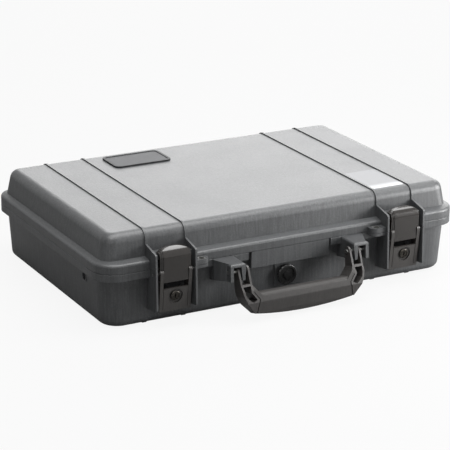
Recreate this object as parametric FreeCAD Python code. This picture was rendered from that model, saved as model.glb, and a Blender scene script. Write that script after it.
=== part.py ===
import FreeCAD, Part
import math
import os

# A hard case for a laptop: a moulded base and lid with a hinge behind, two locking latches and a
# swinging handle in front. Millimetres, X to the right, Y to the back, Z up, floor at Z zero.
# The shells are drawn about the middle of their flange. The finished pieces then move along Y
# together, so that the origin is below the middle of the whole case, handle included.

V = FreeCAD.Vector
SIDES = (("left", -1), ("right", 1))

# Clearances and overruns
overrun = 1.0             # how far a cutting tool runs past the face that it leaves
root_depth = 3.0          # how far a rib or boss is rooted in the wall that carries it
running_gap = 0.06        # radial gap of a pin or barrel that turns in its hole
fit_gap = 0.05            # radial gap of a sleeve that is clamped in its hole
side_gap = 0.5            # gap beside a piece that swings between two cheeks
soft_gap = 0.4            # gap between a foam block and the shell around it
mating_gap = 0.3          # gap between two pieces that press on each other when the case is shut
same_place_share = 0.001  # share of the wall within which two places count as the same

# In names of places, reach is the distance out of the flange's front or back face, inset the
# distance in from it, rise the height above the parting plane and drop the depth below it.

# Flanges where the two shells meet
flange_half_x = 252.5
flange_half_y = 165.0
flange_corner_r = 29.0
parting_z = 73.5
parting_gap = 0.5
base_flange_t = 9.5
flange_chamfer = 2.0
flange_edge_r = 1.0
lid_flange_t = 11.0
lid_flange_edge_r = 3.6
ledge_rise = 2.5
base_top_z = parting_z - parting_gap / 2
flange_under_z = parting_z - base_flange_t
lid_low_z = parting_z + parting_gap / 2
lid_flange_top_z = parting_z + lid_flange_t
ledge_top_z = lid_flange_top_z + ledge_rise

# Base shell
wall_t = 5.0
floor_t = 5.0
foot_height = 2.0
foot_width = 5.5
foot_inset = 7.0
foot_chamfer = 1.5
base_inset_x = 8.0
base_inset_y = 7.0
base_draft_x = 3.5
base_draft_y = 2.5
base_corner_r = 25.0
base_edge_r = 8.0
base_top_half_x = flange_half_x - base_inset_x
base_top_half_y = flange_half_y - base_inset_y
base_bottom_half_x = base_top_half_x - base_draft_x
base_bottom_half_y = base_top_half_y - base_draft_y
foot_half_length = base_bottom_half_y - foot_inset
floor_top_z = foot_height + floor_t

# Lid shell
lid_height = 44.5
lid_inset_x = 8.5
lid_inset_y = 12.0
lid_draft_x = 5.7
lid_draft_y = 2.8
lid_corner_r = 15.0
lid_cavity_corner_r = 21.5
lid_edge_r = 12.0
lid_wall_half_x = flange_half_x - lid_inset_x
lid_wall_half_y = flange_half_y - lid_inset_y
lid_top_half_x = lid_wall_half_x - lid_draft_x
lid_top_half_y = lid_wall_half_y - lid_draft_y
lid_top_z = parting_z + lid_height
lid_ceiling_z = lid_top_z - wall_t

# Seal between the shells
tongue_inset = 7.0
tongue_corner_r = 26.0
tongue_width = 2.5
tongue_height = 2.5
groove_width = 3.5
seal_height = 2.4
seal_side_gap = 0.1
tongue_half_x = flange_half_x - tongue_inset
tongue_half_y = flange_half_y - tongue_inset
groove_top_z = base_top_z + tongue_height + mating_gap + seal_height

# Ribs over the lid and the fins that they end in, two on each side with a latch bay between them
rib_outer_inset = 64.5
bay_width = 52.7
rib_width = 2.5
rib_raise = 1.4
rib_end_inset = 2.0
rib_kink_rise = 28.0
fin_top_reach = 15.0
fin_top_rise = 22.1
fin_parting_reach = 16.0
fin_foot_reach = 18.0
fin_foot_z = 25.0
fin_root_z = 21.0
fin_corner_r = 2.5
back_fin_foot_z = 30.0
back_fin_foot_inset = 2.0
back_fin_knee_drop = 15.5
rib_outer_x = flange_half_x - rib_outer_inset
rib_inner_x = rib_outer_x - bay_width
bay_middle_x = (rib_inner_x + rib_outer_x) / 2
rib_kink_z = parting_z + rib_kink_rise
fin_top_y = flange_half_y + fin_top_reach
fin_top_z = parting_z + fin_top_rise
fin_parting_y = flange_half_y + fin_parting_reach
fin_foot_y = flange_half_y + fin_foot_reach
back_fin_foot_y = flange_half_y - back_fin_foot_inset
back_fin_knee_z = parting_z - back_fin_knee_drop

# Hinge behind
hinge_reach = 2.0
knuckle_r = 5.5
hinge_pin_r = 2.0
lid_knuckle_half = 11.0
hinge_half = 24.0
knuckle_web_drop = 10.0
hinge_y = flange_half_y + hinge_reach

# Padlock lugs with their steel eyes
lug_length = 20.8
lug_reach = 12.0
lug_drop = 4.2
lug_rise = 6.0
lug_corner_r = 8.0
eye_inset = 9.0
eye_reach = 5.5
eye_side = 9.4
eye_bore_r = 3.5
lug_end_x = rib_inner_x - lug_length
lug_front_y = flange_half_y + lug_reach
lug_low_z = parting_z - lug_drop
lug_top_z = parting_z + lug_rise
eye_x = lug_end_x + eye_inset
eye_y = flange_half_y + eye_reach

# Strap sockets in the end walls
socket_inset = 66.4
socket_drop = 20.8
socket_bush_r = 7.0
socket_proud = 0.5
socket_depth = 5.6
socket_bore_r = 4.75
socket_bore_depth = 4.6
socket_y = flange_half_y - socket_inset
socket_z = parting_z - socket_drop

# Latch lever, drawn upright round its pivot in the fins and then leaned in at its foot.
# Ahead, behind, above and below are distances from that pivot.
lever_pivot_reach = 7.5
lever_pivot_drop = 4.5
lever_lean = 5.4
lever_pin_r = 1.75
lever_side_gap = 4.1
lever_post_width = 4.25
lever_face_ahead = 8.0
lever_top_above = 6.3
lever_top_r = 3.0
lever_foot_below = 47.0
lever_foot_ahead = 2.0
lever_foot_t = 2.6
lever_neck_behind = 4.0
lever_neck_below = 9.0
lever_plate_below = 17.4
lever_plate_t = 3.2
lever_eye_r = 5.5
lever_line_width = 0.8
lever_line_depth = 0.5
hook_pin_ahead = 5.3
hook_pin_below = 7.7
hook_pin_r = 1.4
lever_pivot_y = flange_half_y + lever_pivot_reach
lever_pivot_z = parting_z - lever_pivot_drop
lever_half_width = bay_width / 2 - rib_width / 2 - lever_side_gap
lever_front_y = lever_pivot_y + lever_face_ahead
lever_top_z = lever_pivot_z + lever_top_above
lever_foot_y = lever_pivot_y + lever_foot_ahead
lever_foot_z = lever_pivot_z - lever_foot_below
lever_neck_y = lever_pivot_y - lever_neck_behind
lever_neck_z = lever_pivot_z - lever_neck_below
lever_plate_top_z = lever_pivot_z - lever_plate_below
hook_pin_y = lever_pivot_y + hook_pin_ahead
hook_pin_z = lever_pivot_z - hook_pin_below

# Latch hook, and the lid's catch that it closes over
hook_side_gap = 4.6
hook_thickness = 4.6
hook_foot_drop = 15.4
hook_foot_r = 2.0
hook_shoulder_rise = 1.7
hook_brow_rise = 13.5
hook_crown_reach = 12.0
hook_crown_rise = 22.3
hook_top_reach = 5.0
hook_top_rise = 27.9
hook_arch_drop = 4.7
hook_terrace_width = 2.3
hook_terrace_drop = 0.6
claw_end_reach = 2.6
claw_end_rise = 27.5
catch_front_reach = 6.8
catch_top_rise = 19.5
catch_heel_reach = 1.0
catch_heel_rise = 18.9
catch_nose_rise = 13.0
catch_root_rise = 6.5
tongue_half = lever_half_width - lever_post_width - side_gap
hook_half_width = bay_width / 2 - rib_width / 2 - hook_side_gap
hook_foot_z = parting_z - hook_foot_drop
hook_shoulder_z = parting_z + hook_shoulder_rise
hook_brow_z = parting_z + hook_brow_rise
hook_crown_y = flange_half_y + hook_crown_reach
hook_crown_z = parting_z + hook_crown_rise
hook_top_y = flange_half_y + hook_top_reach
hook_top_z = parting_z + hook_top_rise
claw_end_y = flange_half_y + claw_end_reach
claw_end_z = parting_z + claw_end_rise
catch_front_y = flange_half_y + catch_front_reach
catch_top_z = parting_z + catch_top_rise
catch_heel_y = flange_half_y + catch_heel_reach
catch_heel_z = parting_z + catch_heel_rise
catch_nose_z = parting_z + catch_nose_rise
catch_root_z = parting_z + catch_root_rise

# Lock in the lever, drawn upright with it, and the strike on the base that its cam turns behind
lock_below = 27.9
lock_recess_r = 9.4
lock_recess_depth = 1.4
lock_flange_r = 6.4
lock_flange_t = 2.2
lock_sleeve_r = 5.2
lock_sleeve_length = 9.0
lock_barrel_r = 4.0
lock_barrel_sink = 0.4
lock_length = 12.2
lock_nut_r = 8.0
lock_nut_t = 2.4
keyway_width = 1.4
keyway_length = 5.6
keyway_depth = 3.0
cam_t = 1.6
cam_width = 8.0
cam_reach = 11.0
strike_inner = 7.0
strike_outer = 15.5
strike_stem = 2.5
strike_lip_t = 1.8
strike_gap = 0.6
strike_half_height = 4.0
lock_z = lever_pivot_z - lock_below
lock_seat_y = lever_front_y - lock_recess_depth
lock_sleeve_end_y = lever_front_y - lock_sleeve_length
lock_back_y = lever_front_y - lock_length

# Handle bosses on the base
boss_fin_gap = 29.05
boss_flare = 8.0
boss_width = 21.0
boss_root_reach = 3.0
boss_cheek_reach = 21.0
boss_front_reach = 30.0
boss_tip_reach = 31.5
boss_top_drop = 0.8
boss_tip_drop = 21.5
boss_root_drop = 29.5
boss_roof_t = 3.6
boss_edge_r = 2.6
boss_cheek_t = 4.2
boss_post_width = 6.2
boss_post_tip = 1.8
boss_slot_reach = 13.6
boss_root_x = rib_inner_x - rib_width / 2 - boss_fin_gap
boss_outer_x = boss_root_x - boss_flare
boss_inner_x = boss_outer_x - boss_width
boss_root_y = flange_half_y + boss_root_reach
boss_cheek_y = flange_half_y + boss_cheek_reach
boss_front_y = flange_half_y + boss_front_reach
boss_tip_y = flange_half_y + boss_tip_reach
boss_slot_back_y = flange_half_y + boss_slot_reach
boss_top_z = parting_z - boss_top_drop
boss_tip_z = parting_z - boss_tip_drop
boss_root_z = parting_z - boss_root_drop

# Front panel with a notch at each end, and valve seat
panel_left_gap = 24.4
panel_right_gap = 17.6
panel_drop = 21.5
notch_left_width = 4.2
notch_right_width = 2.5
notch_depth = 4.5
valve_seat_left = 15.0
valve_seat_right = 22.0
valve_seat_low_z = 20.0
valve_seat_t = 3.0
panel_low_x = panel_left_gap - boss_inner_x
panel_high_x = boss_inner_x - panel_right_gap
panel_low_z = parting_z - panel_drop
valve_seat_y = base_bottom_half_y + valve_seat_t

# Handle, drawn hanging straight down from its pivot and then swung out. In its front view, names
# that end in s are distances below the pivot, and in is the distance in from the arm's outer face.
handle_pivot_reach = 23.0
handle_pivot_drop = 12.0
handle_rest_tilt = 15.0
handle_pin_r = 2.5
handle_pin_end = 1.5
prong_t = 2.4
prong_outer_t = 3.0
prong_inner_gap = 3.0
prong_outer_gap = 1.4
prong_eye_r = 6.2
fork_depth = 16.5
crossbar_t = 2.8
arm_knee_in = 1.2
arm_knee_s = 25.0
arm_low_in = 2.6
arm_low_s = 32.0
arm_elbow_in = 7.0
arm_elbow_s = 41.5
arm_rail_t = 2.8
handle_corner_in = 17.1
handle_corner_s = 53.5
handle_sag_s = 59.0
grip_top_in = 24.0
grip_top_s = 28.8
grip_gusset_in = 19.0
grip_gusset_s = 23.0
split_knee_in = 15.2
split_knee_s = 27.0
split_low_in = 22.2
split_low_s = 36.5
split_foot_in = 20.6
split_foot_s = 43.0
split_groove_width = 1.4
split_groove_depth = 1.2
window_low_in = 14.0
window_low_s = 39.5
window_elbow_s = 36.5
arm_depth = 8.8
arm_depth_s = 17.4
belly_depth = 12.0
belly_s = 25.0
grip_front_depth = 12.5
grip_back_depth = 9.5
grip_depth_s = 40.0
foot_front_depth = 7.5
foot_back_depth = 5.0
grip_edge_r = 5.0
core_bar_top_s = 34.0
core_bar_low_s = 50.0
core_bar_half_depth = 4.0
handle_pivot_y = flange_half_y + handle_pivot_reach
handle_pivot_z = parting_z - handle_pivot_drop
prong_inner_x = boss_inner_x - prong_inner_gap - prong_t
prong_outer_x = boss_inner_x + boss_post_width + prong_outer_gap
arm_out_x = prong_outer_x + prong_outer_t

# Pressure valve
valve_z = 35.0
valve_flange_r = 11.0
valve_flange_t = 1.6
valve_gasket_t = 0.9
valve_shank_r = 8.0
valve_shank_inset = 9.0
valve_nut_r = 11.5
valve_nut_t = 3.5
valve_nut_inset = 4.5
valve_stem_r = 4.0
valve_stem_inset = 5.5
valve_knob_r = 13.2
valve_knob_t = 3.4
valve_knob_gap = 0.3
valve_knob_edge_r = 1.1
valve_knob_lip_r = 10.0
valve_knob_dish = 1.4
valve_knob_hub_r = 4.6
valve_knob_flute_r = 1.3
valve_knob_flutes = 16
valve_foam_half = 17.0
valve_foam_depth = 9.0
valve_inner_y = base_bottom_half_y - valve_shank_inset
valve_nut_y = base_bottom_half_y - valve_nut_inset
valve_stem_end_y = base_bottom_half_y - valve_stem_inset

# Foam
base_foam_drop = 3.5
pocket_rim_x = 41.0
pocket_rim_y = 19.5
pocket_depth = 38.0
pocket_corner_r = 10.0
lid_foam_rise = 12.5
foam_edge_r = 2.0
base_foam_top_z = parting_z - base_foam_drop
pocket_half_x = base_bottom_half_x - wall_t - pocket_rim_x
pocket_half_y = base_bottom_half_y - wall_t - pocket_rim_y
lid_foam_low_z = parting_z + lid_foam_rise

# Nameplate and label on the lid
plate_rib_gap = 21.3
plate_width = 81.5
plate_back_inset = 17.2
plate_length = 49.0
plate_t = 2.0
plate_corner_r = 8.0
plate_frame_width = 3.6
plate_floor_t = 0.9
plate_edge_r = 0.6
inlay_t = 0.5
inlay_gap = 0.1
label_inner_gap = 3.2
label_outer_gap = 3.5
label_front_inset = 12.2
label_length = 70.0
label_t = 0.3
label_corner_r = 2.0
plate_low_x = plate_rib_gap - rib_inner_x
plate_high_x = plate_low_x + plate_width
plate_high_y = lid_top_half_y - plate_back_inset
plate_low_y = plate_high_y - plate_length
label_low_x = rib_inner_x + label_inner_gap
label_high_x = rib_outer_x - label_outer_gap
label_low_y = label_front_inset - lid_top_half_y
label_high_y = label_low_y + label_length


def box(low, high):
    """Box between two corners."""
    corner = V(*[min(a, b) for a, b in zip(low, high)])
    return Part.makeBox(abs(high[0] - low[0]), abs(high[1] - low[1]), abs(high[2] - low[2]), corner)


def at(low, high, low_z, high_z, z):
    """Size at height z of a wall that tapers evenly from low to high."""
    return low + (high - low) * (z - low_z) / (high_z - low_z)


def rounded_wire(half_x, half_y, corner_r, z):
    """Rectangle with round corners, centred on the Z axis."""
    edges = []
    spots = [(half_x - corner_r, half_y - corner_r, 0), (corner_r - half_x, half_y - corner_r, 90),
             (corner_r - half_x, corner_r - half_y, 180), (half_x - corner_r, corner_r - half_y, 270)]
    ends = []
    for x, y, turn in spots:
        points = [V(x + corner_r * math.cos(math.radians(turn + step)),
                    y + corner_r * math.sin(math.radians(turn + step)), z) for step in (0, 45, 90)]
        ends.append((points, Part.Arc(*points).toShape()))
    for number, (points, arc) in enumerate(ends):
        following = ends[(number + 1) % len(ends)][0]
        edges.append(arc)
        edges.append(Part.LineSegment(points[-1], following[0]).toShape())
    return Part.Wire(edges)


def slab(half_x, half_y, corner_r, low_z, high_z):
    """Upright block with round corners."""
    face = Part.Face(rounded_wire(half_x, half_y, corner_r, low_z))
    return face.extrude(V(0, 0, high_z - low_z))


def tapered(low, high, corner_r, low_z, high_z):
    """Block with round corners that tapers from one half size to another."""
    wires = [rounded_wire(*low, corner_r, low_z), rounded_wire(*high, corner_r, high_z)]
    return Part.makeLoft(wires, True, True)


def ring(half_x, half_y, corner_r, width, low_z, high_z):
    """Closed rib of even width, as a tongue, a groove or a seal."""
    reach = width / 2
    outside = slab(half_x + reach, half_y + reach, corner_r + reach, low_z, high_z)
    return outside.cut(slab(half_x - reach, half_y - reach, corner_r - reach, low_z, high_z))


def polygon(points):
    """Flat face with straight edges."""
    return Part.Face(Part.makePolygon(points + points[:1]))


def side_prism(profile, low_x, high_x):
    """Solid of a profile of Y and Z, between two places along X."""
    face = polygon([V(low_x, y, z) for y, z in profile])
    return face.extrude(V(high_x - low_x, 0, 0))


def plan_prism(outline, low_z, high_z):
    """Solid of an outline of X and Y, between two heights."""
    face = polygon([V(x, y, low_z) for x, y in outline])
    return face.extrude(V(0, 0, high_z - low_z))


def cylinder_x(radius, low_x, high_x, y, z):
    """Round bar along X."""
    return Part.makeCylinder(radius, high_x - low_x, V(low_x, y, z), V(1, 0, 0))


def cylinder_y(radius, front_y, back_y, x, z):
    """Round bar along Y, from its front end to its back end."""
    return Part.makeCylinder(radius, back_y - front_y, V(x, front_y, z), V(0, 1, 0))


def fuse(pieces):
    """One solid out of pieces that overlap or touch."""
    return pieces[0].fuse(pieces[1:]).removeSplitter()


def near(value, other):
    """Whether two places are the same, to a small share of the wall."""
    return abs(value - other) < wall_t * same_place_share


def edges_at(shape, axis, value):
    """Edges that lie wholly at one place along an axis, 0 for X, 1 for Y and 2 for Z."""
    found = []
    for edge in shape.Edges:
        bound = edge.BoundBox
        low = (bound.XMin, bound.YMin, bound.ZMin)[axis]
        high = (bound.XMax, bound.YMax, bound.ZMax)[axis]
        if near(low, value) and near(high, value):
            found.append(edge)
    return found


def edges_along_x(shape, y, z):
    """Edges that run along X through one place."""
    found = []
    for edge in shape.Edges:
        bound = edge.BoundBox
        flat = near(bound.YMin, bound.YMax) and near(bound.ZMin, bound.ZMax)
        if flat and near(bound.YMin, y) and near(bound.ZMin, z):
            found.append(edge)
    return found


def mirrored(shape, side):
    """The piece itself on the right, its mirror image on the left."""
    return shape if side > 0 else shape.mirror(V(0, 0, 0), V(1, 0, 0))


def leaned(shape):
    """Leans a piece drawn upright with the latch lever to where it rests, in at the foot."""
    shape.rotate(V(0, -lever_pivot_y, lever_pivot_z), V(1, 0, 0), lever_lean)
    return shape


def leaned_place(y, z):
    """Where a place in front of the case, drawn upright with the latch lever, comes to rest."""
    lean = math.radians(lever_lean)
    ahead = y - lever_pivot_y
    above = z - lever_pivot_z
    return (lever_pivot_y + ahead * math.cos(lean) + above * math.sin(lean),
            lever_pivot_z + above * math.cos(lean) - ahead * math.sin(lean))


def base_envelope():
    """Outside of the base below its flange."""
    low = (base_bottom_half_x, base_bottom_half_y)
    high = (base_top_half_x, base_top_half_y)
    body = tapered(low, high, base_corner_r, foot_height, flange_under_z - flange_chamfer)
    return body.makeFillet(base_edge_r, edges_at(body, 2, foot_height))


def base_cavity():
    """Space inside the base, open at the top."""
    low = (base_bottom_half_x - wall_t, base_bottom_half_y - wall_t)
    high = (base_top_half_x - wall_t, base_top_half_y - wall_t)
    return tapered(low, high, base_corner_r - wall_t, floor_top_z, base_top_z + overrun)


def base_half_at(z):
    """Half sizes of the space inside the base at one height."""
    top = base_top_z + overrun
    half_x = at(base_bottom_half_x, base_top_half_x, floor_top_z, top, z) - wall_t
    half_y = at(base_bottom_half_y, base_top_half_y, floor_top_z, top, z) - wall_t
    return half_x, half_y


def front_fin(x):
    """Upright fin of the base beside a latch."""
    profile = [(root_depth - base_bottom_half_y, base_top_z), (-fin_parting_y, base_top_z),
               (-fin_foot_y, fin_foot_z), (root_depth - base_bottom_half_y, fin_root_z)]
    fin = side_prism(profile, x - rib_width / 2, x + rib_width / 2)
    return fin.makeFillet(fin_corner_r, edges_along_x(fin, -fin_foot_y, fin_foot_z))


def back_fin(x):
    """Fin of the base that backs the hinge."""
    inside = base_bottom_half_y - root_depth
    profile = [(inside, base_top_z), (hinge_y + knuckle_r, base_top_z),
               (hinge_y + knuckle_r, back_fin_knee_z), (back_fin_foot_y, back_fin_foot_z),
               (inside, back_fin_foot_z - root_depth)]
    return side_prism(profile, x - rib_width / 2, x + rib_width / 2)


def foot(x):
    """Long rib under the base that the case stands on."""
    profile = [(-foot_half_length, foot_height + root_depth), (-foot_half_length, foot_chamfer),
               (foot_chamfer - foot_half_length, 0), (foot_half_length - foot_chamfer, 0),
               (foot_half_length, foot_chamfer), (foot_half_length, foot_height + root_depth)]
    return side_prism(profile, x - foot_width / 2, x + foot_width / 2)


def lug(low_z, high_z):
    """Lug beside the inner fin that takes a padlock."""
    block = box((lug_end_x, -lug_front_y, low_z), (rib_inner_x, root_depth - flange_half_y, high_z))
    corner = [edge for edge in block.Edges
              if near(edge.BoundBox.XMax, lug_end_x) and near(edge.BoundBox.YMax, -lug_front_y)]
    return block.makeFillet(lug_corner_r, corner)


def eye_block(low_z, high_z):
    """Square of the padlock eye between two heights."""
    half = eye_side / 2
    return box((eye_x - half, -eye_y - half, low_z), (eye_x + half, half - eye_y, high_z))


def handle_boss():
    """Boss with a post and a cheek that the handle's fork turns between."""
    inside = base_bottom_half_y - root_depth
    profile = [(-inside, boss_top_z), (-boss_front_y, boss_top_z), (-boss_tip_y, boss_tip_z),
               (-inside, boss_root_z)]
    outline = [(boss_inner_x, -inside), (boss_inner_x, -boss_tip_y), (boss_outer_x, -boss_tip_y),
               (boss_outer_x, -boss_cheek_y), (boss_root_x, -boss_root_y), (boss_root_x, -inside)]
    block = side_prism(profile, boss_inner_x, boss_root_x)
    block = block.common(plan_prism(outline, boss_root_z - overrun, boss_top_z + overrun))
    rims = [edge for edge in edges_at(block, 2, boss_top_z)
            if near(edge.BoundBox.YMin, -boss_front_y) and not near(edge.BoundBox.XMin, boss_root_x)]
    block = block.makeFillet(boss_edge_r, rims)
    slot_low = (boss_inner_x + boss_post_width, -boss_tip_y - overrun, boss_root_z - overrun)
    slot_high = (boss_outer_x - boss_cheek_t, -boss_slot_back_y, boss_top_z - boss_roof_t)
    block = block.cut(box(slot_low, slot_high))
    middle = boss_inner_x + boss_post_width / 2
    for way in (1, -1):
        face_x = middle + way * boss_post_width / 2
        tip_x = middle + way * boss_post_tip / 2
        corners = [(face_x, boss_top_z - boss_roof_t), (tip_x, boss_root_z), (tip_x, boss_root_z - overrun),
                   (face_x + way * overrun, boss_root_z - overrun),
                   (face_x + way * overrun, boss_top_z - boss_roof_t)]
        wedge = polygon([V(x, -boss_tip_y - overrun, z) for x, z in corners])
        block = block.cut(wedge.extrude(V(0, boss_tip_y + overrun - boss_slot_back_y, 0)))
    return block.removeSplitter()


def valve_seat():
    """Square pad on the front wall that the valve is screwed into."""
    low = (-valve_seat_left, -valve_seat_y, valve_seat_low_z)
    return box(low, (valve_seat_right, root_depth - base_bottom_half_y, panel_low_z))


def front_panel():
    """Part of the front that comes down from the flange between the handle bosses."""
    low = (panel_low_x, -flange_half_y, panel_low_z)
    return box(low, (panel_high_x, root_depth - base_bottom_half_y, base_top_z))


def panel_notches():
    """Notches in the flange beside the two ends of the front panel."""
    spans = [(panel_low_x - notch_left_width, panel_low_x), (panel_high_x, panel_high_x + notch_right_width)]
    return [box((low_x, -flange_half_y - overrun, flange_under_z - flange_chamfer - overrun),
                (high_x, notch_depth - flange_half_y, base_top_z + overrun)) for low_x, high_x in spans]


def strike():
    """Hook shaped strike behind the lever that the lock's cam turns behind."""
    middle = bay_middle_x
    lip_back = -(lock_back_y + strike_gap)
    lip_front = lip_back - strike_lip_t
    low_z = lock_z - strike_half_height
    high_z = lock_z + strike_half_height
    stem = box((middle + strike_outer - strike_stem, lip_front, low_z),
               (middle + strike_outer, root_depth - base_bottom_half_y, high_z))
    lip = box((middle + strike_inner, lip_front, low_z), (middle + strike_outer, lip_back, high_z))
    return leaned(fuse([stem, lip]))


def knuckles(spans, high):
    """Hinge knuckles on the right, with a web up to the lid if high, or down to the base."""
    pieces = []
    for low_x, high_x in spans:
        barrel = cylinder_x(knuckle_r, low_x, high_x, hinge_y, parting_z)
        inside = base_top_half_y
        if high:
            web = [(hinge_y, parting_z + knuckle_r), (inside, lid_flange_top_z - root_depth),
                   (inside, lid_low_z), (hinge_y - hinge_pin_r, lid_low_z)]
        else:
            web = [(hinge_y + knuckle_r, parting_z), (hinge_y + knuckle_r, parting_z - hinge_pin_r),
                   (inside, base_top_z - knuckle_web_drop), (inside, base_top_z),
                   (hinge_y, base_top_z)]
        pieces.append(fuse([barrel, side_prism(web, low_x, high_x)]))
    return pieces


def base_knuckle_spans():
    """Where the base's two knuckles lie along the pin."""
    middle = bay_middle_x
    return [(middle - hinge_half, middle - lid_knuckle_half - side_gap),
            (middle + lid_knuckle_half + side_gap, middle + hinge_half)]


def lid_knuckle_spans():
    """Where the lid's knuckle lies along the pin."""
    return [(bay_middle_x - lid_knuckle_half, bay_middle_x + lid_knuckle_half)]


def relief(spans):
    """Room round the other shell's knuckles."""
    return [cylinder_x(knuckle_r + side_gap, low_x - side_gap, high_x + side_gap, hinge_y, parting_z)
            for low_x, high_x in spans]


def socket_face_x():
    """Place of the strap socket's face, a little proud of the end wall."""
    wall_x = at(base_bottom_half_x, base_top_half_x, foot_height, flange_under_z - flange_chamfer, socket_z)
    return wall_x + socket_proud


def socket_bush(grow):
    """Round bush of the strap socket on the right, or the hole that it fills when grown at its ends."""
    face_x = socket_face_x()
    return cylinder_x(socket_bush_r, face_x - socket_depth - grow, face_x + grow, -socket_y, socket_z)


def make_base_shell():
    """Base: a moulded tray with a flange, fins, feet, lugs and handle bosses."""
    under_half = (base_top_half_x, base_top_half_y)
    flange = slab(flange_half_x, flange_half_y, flange_corner_r, flange_under_z, base_top_z)
    flange = flange.makeFillet(flange_edge_r, edges_at(flange, 2, base_top_z))
    chamfer = Part.makeLoft([rounded_wire(*under_half, base_corner_r, flange_under_z - flange_chamfer),
                             rounded_wire(flange_half_x, flange_half_y, flange_corner_r, flange_under_z)],
                            True, True)
    pieces = [base_envelope(), flange, chamfer, front_panel(), valve_seat()]
    for side in (1, -1):
        pieces += [mirrored(handle_boss(), side), mirrored(lug(lug_low_z, base_top_z), side)]
        pieces += [front_fin(side * x) for x in (rib_inner_x, rib_outer_x)]
        pieces += [back_fin(side * x) for x in (rib_inner_x, rib_outer_x)]
        pieces += [foot(side * x) for x in (rib_inner_x, rib_outer_x)]
        pieces.append(strike().translate(V((side - 1) * bay_middle_x, 0, 0)))
        pieces += [mirrored(piece, side) for piece in knuckles(base_knuckle_spans(), False)]
    shell = pieces[0].fuse(pieces[1:])
    shell = shell.fuse(ring(tongue_half_x, tongue_half_y, tongue_corner_r, tongue_width,
                            base_top_z - root_depth, base_top_z + tongue_height))
    shell = shell.cut(base_cavity())
    tools = []
    for side in (1, -1):
        tools += [mirrored(tool, side) for tool in relief(lid_knuckle_spans())]
        tools.append(mirrored(hinge_pin(), side))
        tools.append(mirrored(lever_pin(), side))
        tools.append(mirrored(handle_pin(), side))
        tools.append(mirrored(eye_block(lug_low_z - overrun, base_top_z + overrun), side))
        tools.append(mirrored(socket_bush(overrun), side))
    tools += panel_notches()
    tools.append(cylinder_y(valve_shank_r, -valve_seat_y - overrun, -valve_inner_y, 0, valve_z))
    return shell.cut(tools).removeSplitter()


def lid_rib(x):
    """Rib that runs over the lid from the ledge behind down to the fin beside a latch."""
    front_wall_y = at(lid_wall_half_y, lid_top_half_y, ledge_top_z, lid_top_z, rib_kink_z) + rib_raise
    top = lid_top_z + rib_raise
    top_y = lid_top_half_y + rib_raise
    profile = [(-fin_parting_y, lid_low_z), (-fin_top_y, fin_top_z), (-front_wall_y, rib_kink_z),
               (-top_y, top), (top_y, top), (lid_wall_half_y + rib_raise, ledge_top_z + rib_raise),
               (flange_half_y - rib_end_inset, lid_flange_top_z + rib_raise / 2),
               (flange_half_y - rib_end_inset, lid_flange_top_z - root_depth), (0, lid_low_z)]
    rib = side_prism(profile, x - rib_width / 2, x + rib_width / 2)
    bends = edges_along_x(rib, -top_y, top) + edges_along_x(rib, top_y, top)
    rib = rib.makeFillet(lid_edge_r + rib_raise, bends)
    return rib.makeFillet(fin_corner_r, edges_along_x(rib, -fin_top_y, fin_top_z))


def catch():
    """Shelf of the lid between two fins that the hook closes over."""
    inside = lid_top_half_y - root_depth
    profile = [(-inside, catch_root_z), (-flange_half_y, catch_root_z), (-catch_front_y, catch_nose_z),
               (-catch_front_y, catch_top_z), (-catch_heel_y, catch_heel_z), (-inside, catch_heel_z)]
    return side_prism(profile, rib_inner_x, rib_outer_x)


def lid_cavity():
    """Space inside the lid, open below."""
    low = (lid_wall_half_x - wall_t, lid_wall_half_y - wall_t)
    high = (lid_top_half_x - wall_t, lid_top_half_y - wall_t)
    return tapered(low, high, lid_cavity_corner_r, lid_low_z - overrun, lid_ceiling_z)


def lid_half_at(z):
    """Half sizes of the space inside the lid at one height."""
    low_z = lid_low_z - overrun
    half_x = at(lid_wall_half_x, lid_top_half_x, low_z, lid_ceiling_z, z) - wall_t
    half_y = at(lid_wall_half_y, lid_top_half_y, low_z, lid_ceiling_z, z) - wall_t
    return half_x, half_y


def make_lid_shell():
    """Lid: a moulded cover with a stepped ledge, ribs, fins and catches."""
    flange = slab(flange_half_x, flange_half_y, flange_corner_r, lid_low_z, lid_flange_top_z)
    ledge = Part.makeLoft([rounded_wire(flange_half_x, flange_half_y, flange_corner_r, lid_flange_top_z),
                           rounded_wire(lid_wall_half_x, lid_wall_half_y, lid_corner_r, ledge_top_z)],
                          True, True)
    brim = fuse([flange, ledge])
    brim = brim.makeFillet(lid_flange_edge_r, edges_at(brim, 2, lid_flange_top_z))
    cover = tapered((lid_wall_half_x, lid_wall_half_y), (lid_top_half_x, lid_top_half_y),
                    lid_corner_r, ledge_top_z, lid_top_z)
    cover = cover.makeFillet(lid_edge_r, edges_at(cover, 2, lid_top_z))
    pieces = [brim, cover]
    for side in (1, -1):
        pieces += [lid_rib(side * x) for x in (rib_inner_x, rib_outer_x)]
        pieces.append(mirrored(catch(), side))
        pieces.append(mirrored(lug(lid_low_z, lug_top_z), side))
        pieces += [mirrored(piece, side) for piece in knuckles(lid_knuckle_spans(), True)]
    shell = pieces[0].fuse(pieces[1:])
    groove = ring(tongue_half_x, tongue_half_y, tongue_corner_r, groove_width,
                  lid_low_z - overrun, groove_top_z)
    tools = [lid_cavity(), groove]
    for side in (1, -1):
        tools += [mirrored(tool, side) for tool in relief(base_knuckle_spans())]
        bore = cylinder_x(hinge_pin_r + running_gap, bay_middle_x - hinge_half,
                          bay_middle_x + hinge_half, hinge_y, parting_z)
        tools.append(mirrored(bore, side))
        tools.append(mirrored(eye_block(lid_low_z - overrun, lug_top_z + overrun), side))
    return shell.cut(tools).removeSplitter()


def make_seal():
    """Rubber seal pressed into the top of the lid's groove."""
    width = groove_width - 2 * seal_side_gap
    return ring(tongue_half_x, tongue_half_y, tongue_corner_r, width, groove_top_z - seal_height,
                groove_top_z)


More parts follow.
